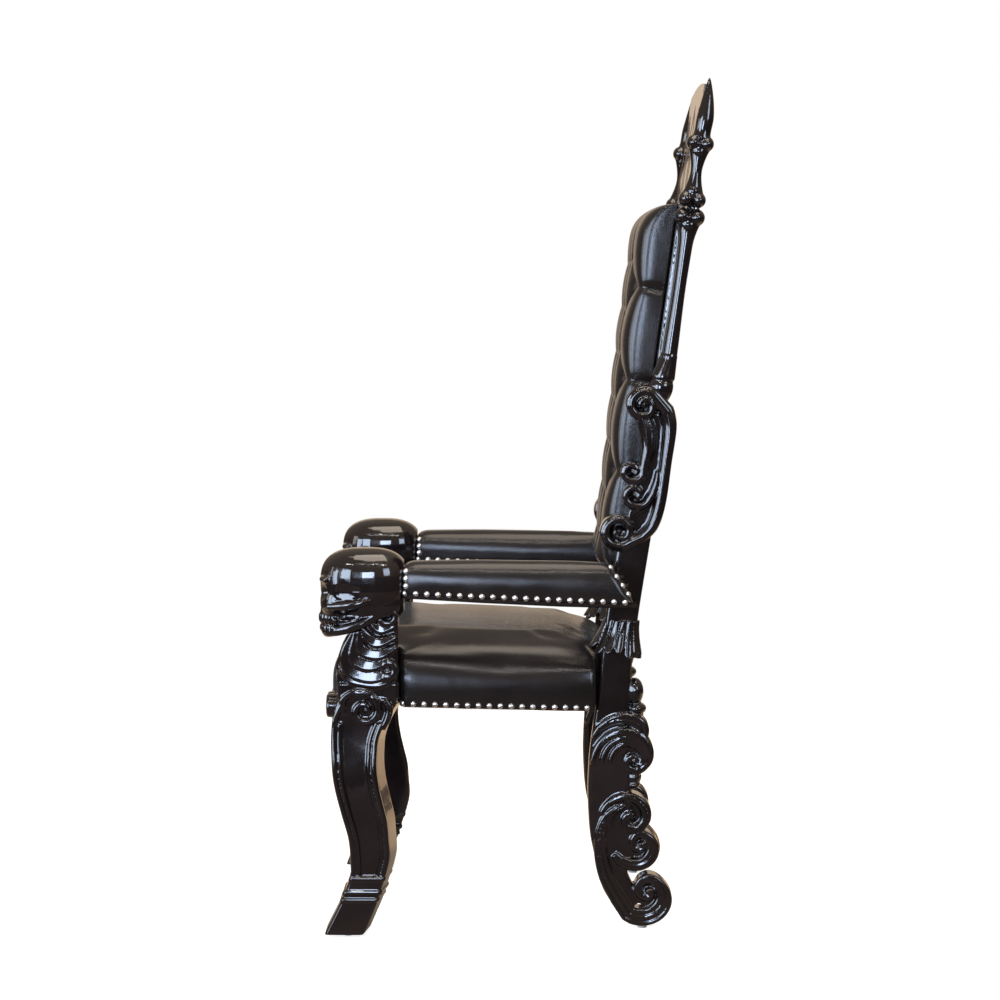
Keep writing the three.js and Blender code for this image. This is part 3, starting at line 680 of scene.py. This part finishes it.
place(skull_left, "lacquer", "skull_left")
place(mirrored(skull_left, "skull_right_carved"), "lacquer", "skull_right")


# Seat
# A deep sprung seat in black leather, stuffed over its frame, with one row of bright nails above the seat
# rail. The cover is blown up as cloth from a plain stuffed block, tacked along its foot and at its corners.

NAIL_GAP = 22.6
NAIL_RADIUS = 6.4
NAIL_UP = 9  # nails above the seat's lower edge
OUTSIDE = 600  # the nails are driven in from here
BLOW_FRAMES = 20


def leather_material():
    """Black hide: fine pebble grain, soft creases and a worn semi-gloss."""
    material, nodes, links, shader = new_finish("black_leather")
    shader.inputs["IOR"].default_value = 1.48
    shader.inputs["Sheen Weight"].default_value = 0.05
    where = nodes.new("ShaderNodeTexCoord").outputs["Object"]
    clouds = mottle(nodes, links, where, 9, 6)
    hide = tones(nodes, (0.0060, 0.0045, 0.0040), (0.0150, 0.0110, 0.0092), 0.3, 0.8)
    links.new(clouds, hide.inputs["Fac"])
    links.new(hide.outputs["Color"], shader.inputs["Base Color"])
    vary(nodes, links, clouds, shader.inputs["Roughness"], 0.17, 0.30)
    pebbles = nodes.new("ShaderNodeTexVoronoi")
    pebbles.feature = "DISTANCE_TO_EDGE"
    pebbles.inputs["Scale"].default_value = 420
    links.new(where, pebbles.inputs["Vector"])
    pebble_bump = relief(nodes, links, pebbles.outputs["Distance"], 0.16, 0.0006)
    crease_bump = relief(nodes, links, mottle(nodes, links, where, 26, 3, 0.6), 0.10, 0.004)
    links.new(pebble_bump.outputs["Normal"], crease_bump.inputs["Normal"])
    links.new(crease_bump.outputs["Normal"], shader.inputs["Normal"])
    return material


def nail_metal():
    """Nickel-plated upholstery nails, a little tarnished."""
    material, nodes, links, shader = new_finish("nickel_nails")
    shader.inputs["Metallic"].default_value = 1.0
    tarnish = mottle(nodes, links, nodes.new("ShaderNodeTexCoord").outputs["Object"], 70)
    plate = tones(nodes, (0.78, 0.75, 0.71), (0.95, 0.94, 0.92))
    links.new(tarnish, plate.inputs["Fac"])
    links.new(plate.outputs["Color"], shader.inputs["Base Color"])
    vary(nodes, links, tarnish, shader.inputs["Roughness"], 0.26, 0.42)
    return material


def stuffed(piece, grain, pressure, most, tacked, round_over, taut):
    """A leather pad from its plain solid: its top rounded over, then the cover blown up as cloth.

    tacked says which points are held, from their places in millimetres, most caps the move, and taut smooths
    the cover afterwards."""
    melt(piece, grain)
    ease(piece, 5)
    settle(piece)
    held = tacked(points_of(piece) / MM)
    tacks = piece.vertex_groups.new(name="tacks")
    tacks.add(np.nonzero(held)[0].tolist(), 1.0, "REPLACE")
    free = piece.vertex_groups.new(name="free")
    free.add(np.nonzero(~held)[0].tolist(), 1.0, "REPLACE")
    ease(piece, round_over, "free")
    settle(piece)
    start = points_of(piece)
    cover = piece.modifiers.new("cover", "CLOTH")
    cover.settings.use_pressure = True
    cover.settings.uniform_pressure_force = pressure
    cover.settings.effector_weights.gravity = 0
    cover.settings.vertex_group_mass = "tacks"
    cover.settings.tension_stiffness = 30
    cover.settings.compression_stiffness = 30
    cover.settings.bending_stiffness = 2
    cover.point_cache.frame_end = BLOW_FRAMES
    for step in range(1, BLOW_FRAMES + 1):
        bpy.context.scene.frame_set(step)
    swollen = settle(piece)
    move = points_of(swollen) - start
    far = np.linalg.norm(move, axis=1)[:, None] + 1e-9
    move *= np.minimum(1, most * MM / far)
    set_points(swollen, start + move)
    ease(swollen, taut, "free")
    settle(swollen)
    swollen.vertex_groups.clear()
    bpy.context.scene.frame_set(1)
    return swollen


def nails(name, carrier, starts, way, finish, radius=NAIL_RADIUS):
    """Domed nail heads where lines from starts along way (millimetres) meet the carrying piece."""
    seen_from = BVHTree.FromObject(carrier, bpy.context.evaluated_depsgraph_get())
    parts = []
    ring = np.linspace(0, 2 * np.pi, 12, endpoint=False)
    for start in starts:
        hit, facing, _, _ = seen_from.ray_cast(Vector(start) * MM, Vector(way))
        if hit is None:
            continue
        turn = np.array(facing.to_track_quat("Z", "Y").to_matrix())
        rings = []
        for t in np.radians((-25, 0, 22, 45, 66, 84)):
            flat = np.column_stack([np.cos(ring), np.sin(ring)]) * math.cos(t) * radius
            level = np.column_stack([flat, np.full(12, 0.8 * radius * math.sin(t))])
            rings.append(np.array(hit) / MM + level @ turn.T)
        parts.append(loft(rings))
    piece = raw_piece(name, parts)
    piece.data.shade_smooth()
    piece.data.materials.append(finish)
    place(piece, None)


def seat_foot(y):
    """Height of the seat's lower edge, which falls a little to the rear."""
    return SEAT_FOOT - 0.035 * (y - SUPPORT_REAR)


leather = leather_material()
nickel = nail_metal()

# The stuffed block in plan is a square with soft corners, narrower at the rear, and its edges roll over.
SUPPORT_REAR = -240  # rear face of the arm supports
SEAT_FOOT = 478
SEAT_FRONT, SEAT_REAR = -387, 226
SEAT_FRONT_HALF, SEAT_REAR_HALF = 352, 300
ROLL_FOOT, ROLL_TALL, ROLL_DEEP = 528, 99, 112
turn = np.linspace(0, 2 * np.pi, 120, endpoint=False)
corner_reach = (np.abs(np.cos(turn)) ** 9 + np.abs(np.sin(turn)) ** 9)[:, None] ** (1 / 9)
plan = np.column_stack([np.cos(turn), np.sin(turn)]) / corner_reach
roll = [
    (ROLL_FOOT + ROLL_TALL * math.sin(t), ROLL_DEEP * (1 - math.cos(t)))
    for t in np.linspace(0, math.pi / 2, 12)
]
seat_rings = []
for z, inset in [(SEAT_FOOT, 4), (483, 0), (505, 0)] + roll + [(ROLL_FOOT + ROLL_TALL + 1.5, 190)]:
    flat = plan * (1 - inset / 340)
    y = (SEAT_FRONT + SEAT_REAR) / 2 + (SEAT_REAR - SEAT_FRONT) / 2 * flat[:, 1]
    half = SEAT_FRONT_HALF + (SEAT_REAR_HALF - SEAT_FRONT_HALF) * (y - SEAT_FRONT) / (SEAT_REAR - SEAT_FRONT)
    seat_rings.append(np.column_stack([half * flat[:, 0], y, z - SEAT_FOOT + seat_foot(y)]))
seat = raw_piece("seat_leather", [loft(seat_rings)])
corners = []
notches = [  # for the arm supports, the posts and their collars
    (LEG_IN - 0.4, -450, SUPPORT_REAR + 0.4, 400),
    (POST_IN - 0.4, 166, 300, 400),
    (219, 155, 300, 583),
]
for side in (-1, 1):
    for inner, front, rear, low in notches:
        wall = sorted((side * inner, side * 450))
        edge = [(wall[0], front), (wall[1], front), (wall[1], rear), (wall[0], rear)]
        corners.append(raw_piece("corner", [loft([[(x, y, z) for x, y in edge] for z in (low, 700)])]))
        notch = seat.modifiers.new("notch", "BOOLEAN")
        notch.operation = "DIFFERENCE"
        notch.object = corners[-1]
settle(seat)
for corner in corners:
    bpy.data.objects.remove(corner)


def seat_held(p):
    """The points tacked along the foot and at the notched corners."""
    across = np.abs(p[:, 0])
    return (
        (p[:, 2] < seat_foot(p[:, 1]) + 20)
        | ((p[:, 1] > 158) & (across > 228) & (p[:, 2] < 556))
        | ((p[:, 1] < SUPPORT_REAR + 8) & (across > LEG_IN - 8) & (p[:, 2] < 590))
    )


seat = stuffed(seat, grain=6, pressure=6, most=7, tacked=seat_held, round_over=6, taut=14)
seat.data.materials.append(leather)
place(seat, "leather", "seat")
side_row = np.arange(-236, 164, NAIL_GAP)
for side, name in ((1, "left"), (-1, "right")):
    starts = [(side * OUTSIDE, y, seat_foot(y) + NAIL_UP) for y in side_row]
    nails(f"seat_nails_{name}", seat, starts, (-side, 0, 0), nickel)
front_row = np.arange(-11, 12) * NAIL_GAP
starts = [(x, -OUTSIDE, seat_foot(SEAT_FRONT) + NAIL_UP) for x in front_row]
nails("seat_nails_front", seat, starts, (0, 1, 0), nickel)


# Arms
# Each arm is a lacquered rail with a long leather pad stuffed over it, nailed along its lower edge, up the
# slanted rear end by the post, and up its front end behind the skull.

ARM_FRONT = -236


def pad_held(p):
    """The points tacked along the lower edge and behind the skull."""
    return (p[:, 2] < 724 - 0.05 * (p[:, 1] - ARM_FRONT)) | (p[:, 1] < -222)


for side, name in ((1, "left"), (-1, "right")):
    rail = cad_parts[f"arm_rail_{name}"]
    rail.data.materials.clear()
    rail.data.materials.append(lacquer)
    pad = bpy.data.objects.new(f"arm_pad_{name}_leather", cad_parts[f"arm_pad_{name}"].data.copy())
    pad.data.materials.clear()
    bpy.context.scene.collection.objects.link(pad)
    pad = stuffed(pad, grain=4, pressure=5, most=6, tacked=pad_held, round_over=24, taut=12)
    pad.data.materials.append(leather)
    place(pad, "leather", f"arm_pad_{name}")
    low_row = [(side * OUTSIDE, y, 722 - 0.0444 * (y - ARM_FRONT)) for y in np.arange(-228, 236, NAIL_GAP)]
    front_row = [(side * OUTSIDE, -226, z) for z in np.arange(737, 782, 15)]
    rear_row = [(side * OUTSIDE, y, 700 + (243 - y) * 1.5) for y in (231, 219, 207, 195)]
    inner_row = [(side * 200, y, z) for _, y, z in low_row[:-1] + front_row]
    nails(f"arm_nails_outer_{name}", pad, low_row + front_row + rear_row, (-side, 0, 0), nickel)
    nails(f"arm_nails_inner_{name}", pad, inner_row, (side, 0, 0), nickel)


# Back
# A leaning lacquered board between the posts carries a deep-buttoned leather cushion on its front, tacked
# down its upper sides, and a thin plain leather cover on its rear.

BACK_HALF = 236
CUSHION_REAR = -25  # the board's front face, behind the bone axis
CUSHION_LOW, CUSHION_TOP = 34, 824
BUTTON_STEP = 58  # half the spacing of buttons across
ROW_STEP = 194  # rows of buttons whose pleats run out to the sides
FIRST_ROW = 61
BUTTON_SUNK, BUTTON_REACH = 9, 13  # the hollow round each button
TACK_GAP, TACK_RADIUS = 11, 2.4

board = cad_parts["back_panel"]
board.data.materials.clear()
board.data.materials.append(lacquer)


def superellipse(half, deep, power, count):
    """Places (across, deep) evenly spaced round the front of a rounded box."""
    t = np.linspace(0, np.pi, 6000)
    across = half * np.sign(np.cos(t)) * np.abs(np.cos(t)) ** power
    out = deep * np.sin(t) ** power
    run = np.concatenate([[0], np.cumsum(np.hypot(np.diff(across), np.diff(out)))])
    even = np.linspace(0, run[-1], count)
    return np.column_stack([np.interp(even, run, across), np.interp(even, run, out)])


def cushion_deep(u):
    """Thickness of the cushion between its pleats, fuller towards the top."""
    return 66 + 13 * min(1, max(0, (u - 150) / 380))


buttons_at = [
    (column * BUTTON_STEP, FIRST_ROW + (row + shift) * ROW_STEP)
    for row in range(4)
    for columns, shift in (((-3, -1, 1, 3), 0), ((-2, 0, 2), 0.5))
    for column in columns
]
outline = superellipse(BACK_HALF, 82.0, 0.3, 230) / (1, 82.0)
rings = []
for u in np.linspace(CUSHION_LOW, CUSHION_TOP, 300):
    top = math.sqrt(max(0.01, 1 - max(0, (u - 742) / (CUSHION_TOP - 742)) ** 2.4))
    foot = math.sqrt(max(0.05, 1 - max(0, (70 - u) / 37) ** 2))
    deep = cushion_deep(u) * top * foot
    x, share = outline.T
    a = np.clip(x / (2 * BUTTON_STEP), -1.5, 1.5)
    b = np.clip((u - FIRST_ROW) / ROW_STEP, 0, 3.5)
    lines = np.abs(np.cos(np.pi * (a + b)) * np.cos(np.pi * (a - b)))
    flat = share * deep
    front = np.clip(share * 1.6 - 0.6, 0, 1)
    swell = lines ** (0.18 + 0.2 * front)
    depth = flat - (1 - swell) * (17 * front + 1.5) * top
    for across, up in buttons_at:
        near = np.hypot(x - across, u - up)
        depth = depth - BUTTON_SUNK * np.exp(-((near / BUTTON_REACH) ** 2)) * front * top
    side_pleat = np.exp(-((((b - round(float(b))) * ROW_STEP) / 9) ** 2)) if 0.1 < b < 3.4 else 0
    x = x * (1 - 0.02 * side_pleat * (1 - front) - 0.025 * (1 - share) * (1 - swell))
    rings.append(lean(np.column_stack([x, CUSHION_REAR - np.maximum(depth, 0.2), np.full(len(x), u)])))
cushion = raw_piece("back_cushion_leather", [loft(rings)])
ease(cushion, 2)
settle(cushion)
cushion.data.materials.append(leather)
place(cushion, "leather", "back_cushion")

button_parts = []
for across, u in buttons_at:
    points, faces = blob((across, CUSHION_REAR - cushion_deep(u) + 24, u), (11, 5.5, 11))
    button_parts.append((lean(points), faces))
buttons = raw_piece("back_buttons", button_parts)
buttons.data.shade_smooth()
buttons.data.materials.append(leather)
place(buttons, "leather")

for side, name in ((1, "left"), (-1, "right")):
    starts = lean([(side * OUTSIDE, CUSHION_REAR - 6, u) for u in np.arange(548, 806, TACK_GAP)])
    nails(f"cushion_tacks_{name}", cushion, starts.tolist(), (-side, 0, 0), leather, TACK_RADIUS)

rear_rings = []
for t in np.linspace(0, 1, 60):
    u = 24 + 768 * t
    swell = (1 - (2 * t - 1) ** 10) ** 0.5
    shape = superellipse(222, 4.0 * swell + 0.3, 0.4, 60)
    rear_rings.append(lean(np.column_stack([shape[:, 0], 10.2 + shape[:, 1], np.full(60, u)])))
rear_cover = raw_piece("back_rear_leather", [loft(rear_rings)])
rear_cover.data.shade_smooth()
rear_cover.data.materials.append(leather)
place(rear_cover, "leather")


# Crest
# A gothic board of lacquered hardwood let in between the claws, with a gently arched top. Three
# blind lancets, each of two lines, are cut into its front, and its rear is plain.

CREST_HALF = 236
CREST_FRONT, CREST_REAR = -7, 8.6
CREST_LOW, CREST_SHOULDER, CREST_APEX = 806, 1076, 1088
LINE_DEEP, LINE_HALF = 3.2, 2.8  # the cut lines
across = np.linspace(-CREST_HALF, CREST_HALF, 70)
arch_top = CREST_SHOULDER + (CREST_APEX - CREST_SHOULDER) * np.cos(np.pi / 2 * across / CREST_HALF)
board_edges = [(CREST_FRONT, 0), (CREST_REAR, 0), (CREST_REAR, 1), (CREST_FRONT, 1)]
board_rings = [
    [(x, v, CREST_LOW + (top - CREST_LOW) * up) for v, up in board_edges]
    for x, top in zip(across, arch_top)
]
crest_board = carve("crest_board_carved", [loft(board_rings)], grain=2.0, smooth=3)
cut_lines = []
for place_at in (-1, 0, 1):
    middle, tip = 146 * place_at, 1030 + 12 * (1 - abs(place_at))
    for half in (58, 46):
        jamb = spline([[middle + half, CREST_LOW + 34], [middle + half, 940]], 2)
        arc = spline([[middle + half, 940], [middle + half * 0.8, tip - 50], [middle, tip + half - 58]], 2)
        right = np.vstack([jamb, arc])
        cut_lines += [right, right * (-1, 1) + (2 * middle, 0)]
board_points = points_of(crest_board) / MM
front_face = board_points[:, 1] < CREST_FRONT + 3
spots = board_points[front_face][:, [0, 2]]
near = np.full(len(spots), 1e9)
for line in cut_lines:
    near = np.minimum(near, np.min(np.linalg.norm(spots[:, None] - line[None], axis=2), axis=1))
board_points[front_face, 1] += LINE_DEEP * np.exp(-((near / LINE_HALF) ** 2))
set_points(crest_board, lean(board_points) * MM)
thin(crest_board, 0.3)
settle(crest_board)
crest_board.data.materials.append(lacquer)
place(crest_board, "lacquer", "crest_panel")


# Glides
# Four small discs of white nylon, tapped into the undersides of the feet, on which the throne stands clear of
# the floor.

nylon, nylon_nodes, nylon_links, nylon_shader = new_finish("white_nylon")
nylon_shader.inputs["IOR"].default_value = 1.5
nylon_shader.inputs["Subsurface Weight"].default_value = 0.1
nylon_shader.inputs["Roughness"].default_value = 0.45
scuffs = nylon_nodes.new("ShaderNodeTexNoise")
scuffs.inputs["Scale"].default_value = 120
scuff_colour = tones(nylon_nodes, (0.50, 0.48, 0.44), (0.82, 0.80, 0.76))
nylon_links.new(scuffs.outputs["Fac"], scuff_colour.inputs["Fac"])
nylon_links.new(scuff_colour.outputs["Color"], nylon_shader.inputs["Base Color"])
for name in ("front_left", "front_right", "rear_left", "rear_right"):
    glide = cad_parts[f"glide_{name}"]
    glide.data.materials.clear()
    glide.data.materials.append(nylon)


# Floor, light and camera
# A pale floor under tall bluish windows, seen from the side through a long lens. The camera sees floor and
# room as white, and the lacquer mirrors them as dim and tan.

FLOOR_RADIUS = 2.6
FLOOR_SIDES = 96
CAMERA_AT = (5.90, 0.03, 1.37)
CAMERA_DOWN, CAMERA_TURN = 4.72, 90.65  # degrees
floor_ring = np.linspace(0, 2 * np.pi, FLOOR_SIDES, endpoint=False)
floor_edge = np.column_stack([np.cos(floor_ring), np.sin(floor_ring), np.zeros(FLOOR_SIDES)]) * FLOOR_RADIUS
floor_mesh = bpy.data.meshes.new("floor")
floor_mesh.from_pydata(floor_edge.tolist(), [], [tuple(range(FLOOR_SIDES))])
floor = bpy.data.objects.new("floor", floor_mesh)
bpy.context.scene.collection.objects.link(floor)
floor_paint, floor_nodes, floor_links, floor_shader = new_finish("pale_floor")
floor_shader.inputs["Base Color"].default_value = (0.62, 0.615, 0.61, 1)
floor_shader.inputs["Roughness"].default_value = 0.9
floor_shader.inputs["Emission Color"].default_value = (1, 1, 1, 1)
floor_shader.inputs["Emission Strength"].default_value = 0.84
floor_mirrored = floor_nodes.new("ShaderNodeBsdfDiffuse")
floor_place = floor_nodes.new("ShaderNodeTexCoord")
floor_across = floor_nodes.new("ShaderNodeSeparateXYZ")
floor_links.new(floor_place.outputs["Object"], floor_across.inputs["Vector"])
floor_side = floor_nodes.new("ShaderNodeMapRange")
floor_side.inputs["From Min"].default_value = -0.6
floor_side.inputs["From Max"].default_value = 0.6
floor_links.new(floor_across.outputs["X"], floor_side.inputs["Value"])
floor_tone = tones(floor_nodes, (0.85, 0.66, 0.46), (0.17, 0.125, 0.11))
floor_links.new(floor_side.outputs["Result"], floor_tone.inputs["Fac"])
floor_links.new(floor_tone.outputs["Color"], floor_mirrored.inputs["Color"])
floor_rays = floor_nodes.new("ShaderNodeLightPath")
floor_choice = floor_nodes.new("ShaderNodeMixShader")
floor_links.new(floor_rays.outputs["Is Camera Ray"], floor_choice.inputs["Fac"])
floor_links.new(floor_mirrored.outputs["BSDF"], floor_choice.inputs[1])
floor_links.new(floor_shader.outputs["BSDF"], floor_choice.inputs[2])
floor_links.new(floor_choice.outputs["Shader"], floor_nodes["Material Output"].inputs["Surface"])
floor_mesh.materials.append(floor_paint)

scene = bpy.context.scene
scene.view_settings.view_transform = "Standard"
world = bpy.data.worlds.new("studio")
scene.world = world
world.use_nodes = True
sky_nodes, sky_links = world.node_tree.nodes, world.node_tree.links
seen = sky_nodes["Background"]
seen.inputs["Color"].default_value = (1, 1, 1, 1)
seen.inputs["Strength"].default_value = 1.0
mirror_room = sky_nodes.new("ShaderNodeBackground")
mirror_room.inputs["Strength"].default_value = 1.0
sky_place = sky_nodes.new("ShaderNodeTexCoord")
sky_height = sky_nodes.new("ShaderNodeSeparateXYZ")
sky_links.new(sky_place.outputs["Generated"], sky_height.inputs["Vector"])
room_tone = tones(sky_nodes, (0.10, 0.075, 0.06), (0.42, 0.35, 0.28), 0.0, 0.85)
wall = room_tone.color_ramp.elements.new(0.22)
wall.color = (0.26, 0.20, 0.15, 1)
sky_links.new(sky_height.outputs["Z"], room_tone.inputs["Fac"])
sky_links.new(room_tone.outputs["Color"], mirror_room.inputs["Color"])
rays = sky_nodes.new("ShaderNodeLightPath")
choose = sky_nodes.new("ShaderNodeMixShader")
sky_links.new(rays.outputs["Is Camera Ray"], choose.inputs["Fac"])
sky_links.new(mirror_room.outputs["Background"], choose.inputs[1])
sky_links.new(seen.outputs["Background"], choose.inputs[2])
sky_links.new(choose.outputs["Shader"], sky_nodes["World Output"].inputs["Surface"])


def soft_light(name, place_at, aim, size, power, colour):
    """A rectangular studio light turned to its aim."""
    lamp = bpy.data.lights.new(name, "AREA")
    lamp.shape = "RECTANGLE"
    lamp.size, lamp.size_y = size
    lamp.energy = power
    lamp.color = colour
    holder = bpy.data.objects.new(name, lamp)
    scene.collection.objects.link(holder)
    holder.location = place_at
    direction = np.asarray(aim, float) - np.asarray(place_at, float)
    pitch = math.atan2(math.hypot(direction[0], direction[1]), -direction[2])
    holder.rotation_euler = (pitch, 0, math.atan2(direction[1], direction[0]) - math.pi / 2)


soft_light("low_pane", (4.6, -0.44, 1.45), (0.3, -0.2, 0.7), (0.70, 1.3), 60, (0.62, 0.75, 1.0))
soft_light("window_front", (4.0, -2.6, 1.8), (0.3, 0, 0.9), (1.7, 2.4), 145, (0.66, 0.79, 1.0))
soft_light("window_rear", (3.9, 2.8, 2.5), (0.3, 0, 0.9), (1.4, 1.6), 60, (0.66, 0.79, 1.0))
soft_light("window_low", (2.7, -3.9, 1.5), (0.2, 0, 0.9), (1.3, 2.4), 98, (0.68, 0.81, 1.0))
soft_light("front_window", (1.2, -4.6, 1.9), (0, 0, 0.9), (1.0, 2.2), 22, (0.95, 0.93, 0.90))
soft_light("overhead", (0.4, 0.2, 4.2), (0, 0, 0.8), (2.2, 2.2), 60, (1.0, 0.88, 0.74))
soft_light("rear_wall", (-3.5, 0.2, 1.5), (0, 0, 0.9), (3.8, 2.3), 15, (1.0, 0.78, 0.57))
for i, y in enumerate(np.linspace(-1.6, 1.4, 7)):
    spot_at = (2.4 + 0.3 * (i % 2), y, 3.7)
    soft_light(f"ceiling_spot_{i}", spot_at, (0.3, 0, 0.8), (0.13, 0.13), 3.5, (1.0, 0.98, 0.95))

camera_data = bpy.data.cameras.new("camera")
camera_data.sensor_width = 36
camera_data.lens = 97.6
camera = bpy.data.objects.new("camera", camera_data)
scene.collection.objects.link(camera)
camera.location = CAMERA_AT
camera.rotation_euler = (math.radians(90 - CAMERA_DOWN), 0, math.radians(CAMERA_TURN))
scene.camera = camera
